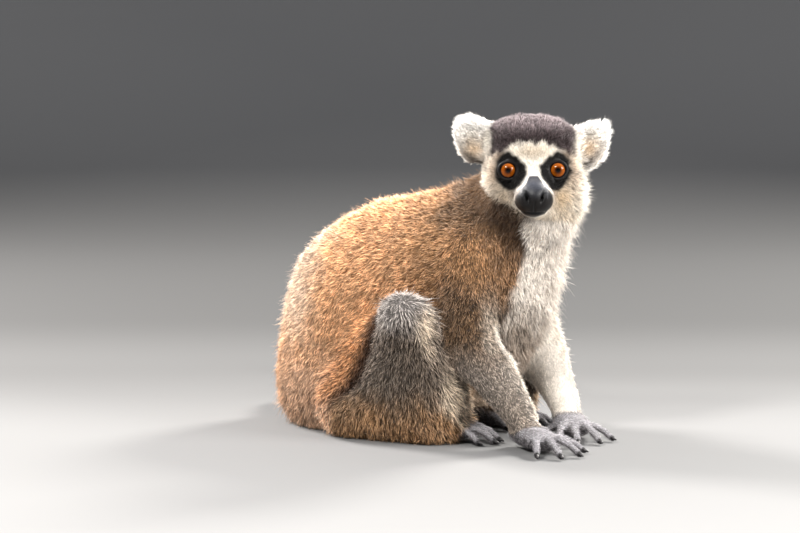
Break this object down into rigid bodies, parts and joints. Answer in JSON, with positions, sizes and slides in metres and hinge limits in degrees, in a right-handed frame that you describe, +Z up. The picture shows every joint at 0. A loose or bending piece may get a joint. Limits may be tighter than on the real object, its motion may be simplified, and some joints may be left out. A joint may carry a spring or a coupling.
{
  "type": "ring-tailed lemur",
  "caption": "Still, life-size ring-tailed lemur sitting hunched on the floor, hands flat in front of it, head turned to its right and ringed tail laid behind in an S.",
  "frame": {"origin": "bottom centre of the bounding box, on the floor that the animal sits on", "axes": "+Z up; the face looks along -Y; the trunk heads 33 degrees from +X towards -Y; the tail lies on the +Y side"},
  "size_m": [0.2592, 0.4436, 0.2446],
  "materials": {
    "back_coat": "dense woolly fur, orange-brown, greyer towards the shoulders and rump",
    "limb_coat": "shorter grey fur, grizzled, paler at its tips",
    "pale_coat": "white to cream fur of the face, ears and throat, with a dark crown and eye patches",
    "tail_coat": "long fur in black and white rings, black at the tip",
    "bare_skin": "bare blue-black leathery skin, slightly damp on the nose",
    "eye": "wet, clear cornea over an orange iris with a small dark pupil"
  },
  "bodies": {
    "root": {"trunk": "back_coat", "neck": "pale_coat", "head": "pale_coat", "muzzle": "bare_skin", "ear_left": "pale_coat", "ear_right": "pale_coat", "eye_left": "eye", "eye_right": "eye", "upper_arm_left": "limb_coat", "upper_arm_right": "limb_coat", "forearm_left": "limb_coat", "forearm_right": "limb_coat", "hand_left": "limb_coat", "hand_right": "limb_coat", "thigh_left": "limb_coat", "thigh_right": "limb_coat", "shank_left": "limb_coat", "shank_right": "limb_coat", "foot_left": "limb_coat", "foot_right": "limb_coat", "tail_1": "tail_coat", "tail_2": "tail_coat", "tail_3": "tail_coat", "tail_4": "tail_coat", "tail_5": "tail_coat", "tail_6": "tail_coat"}
  },
  "joints": []
}
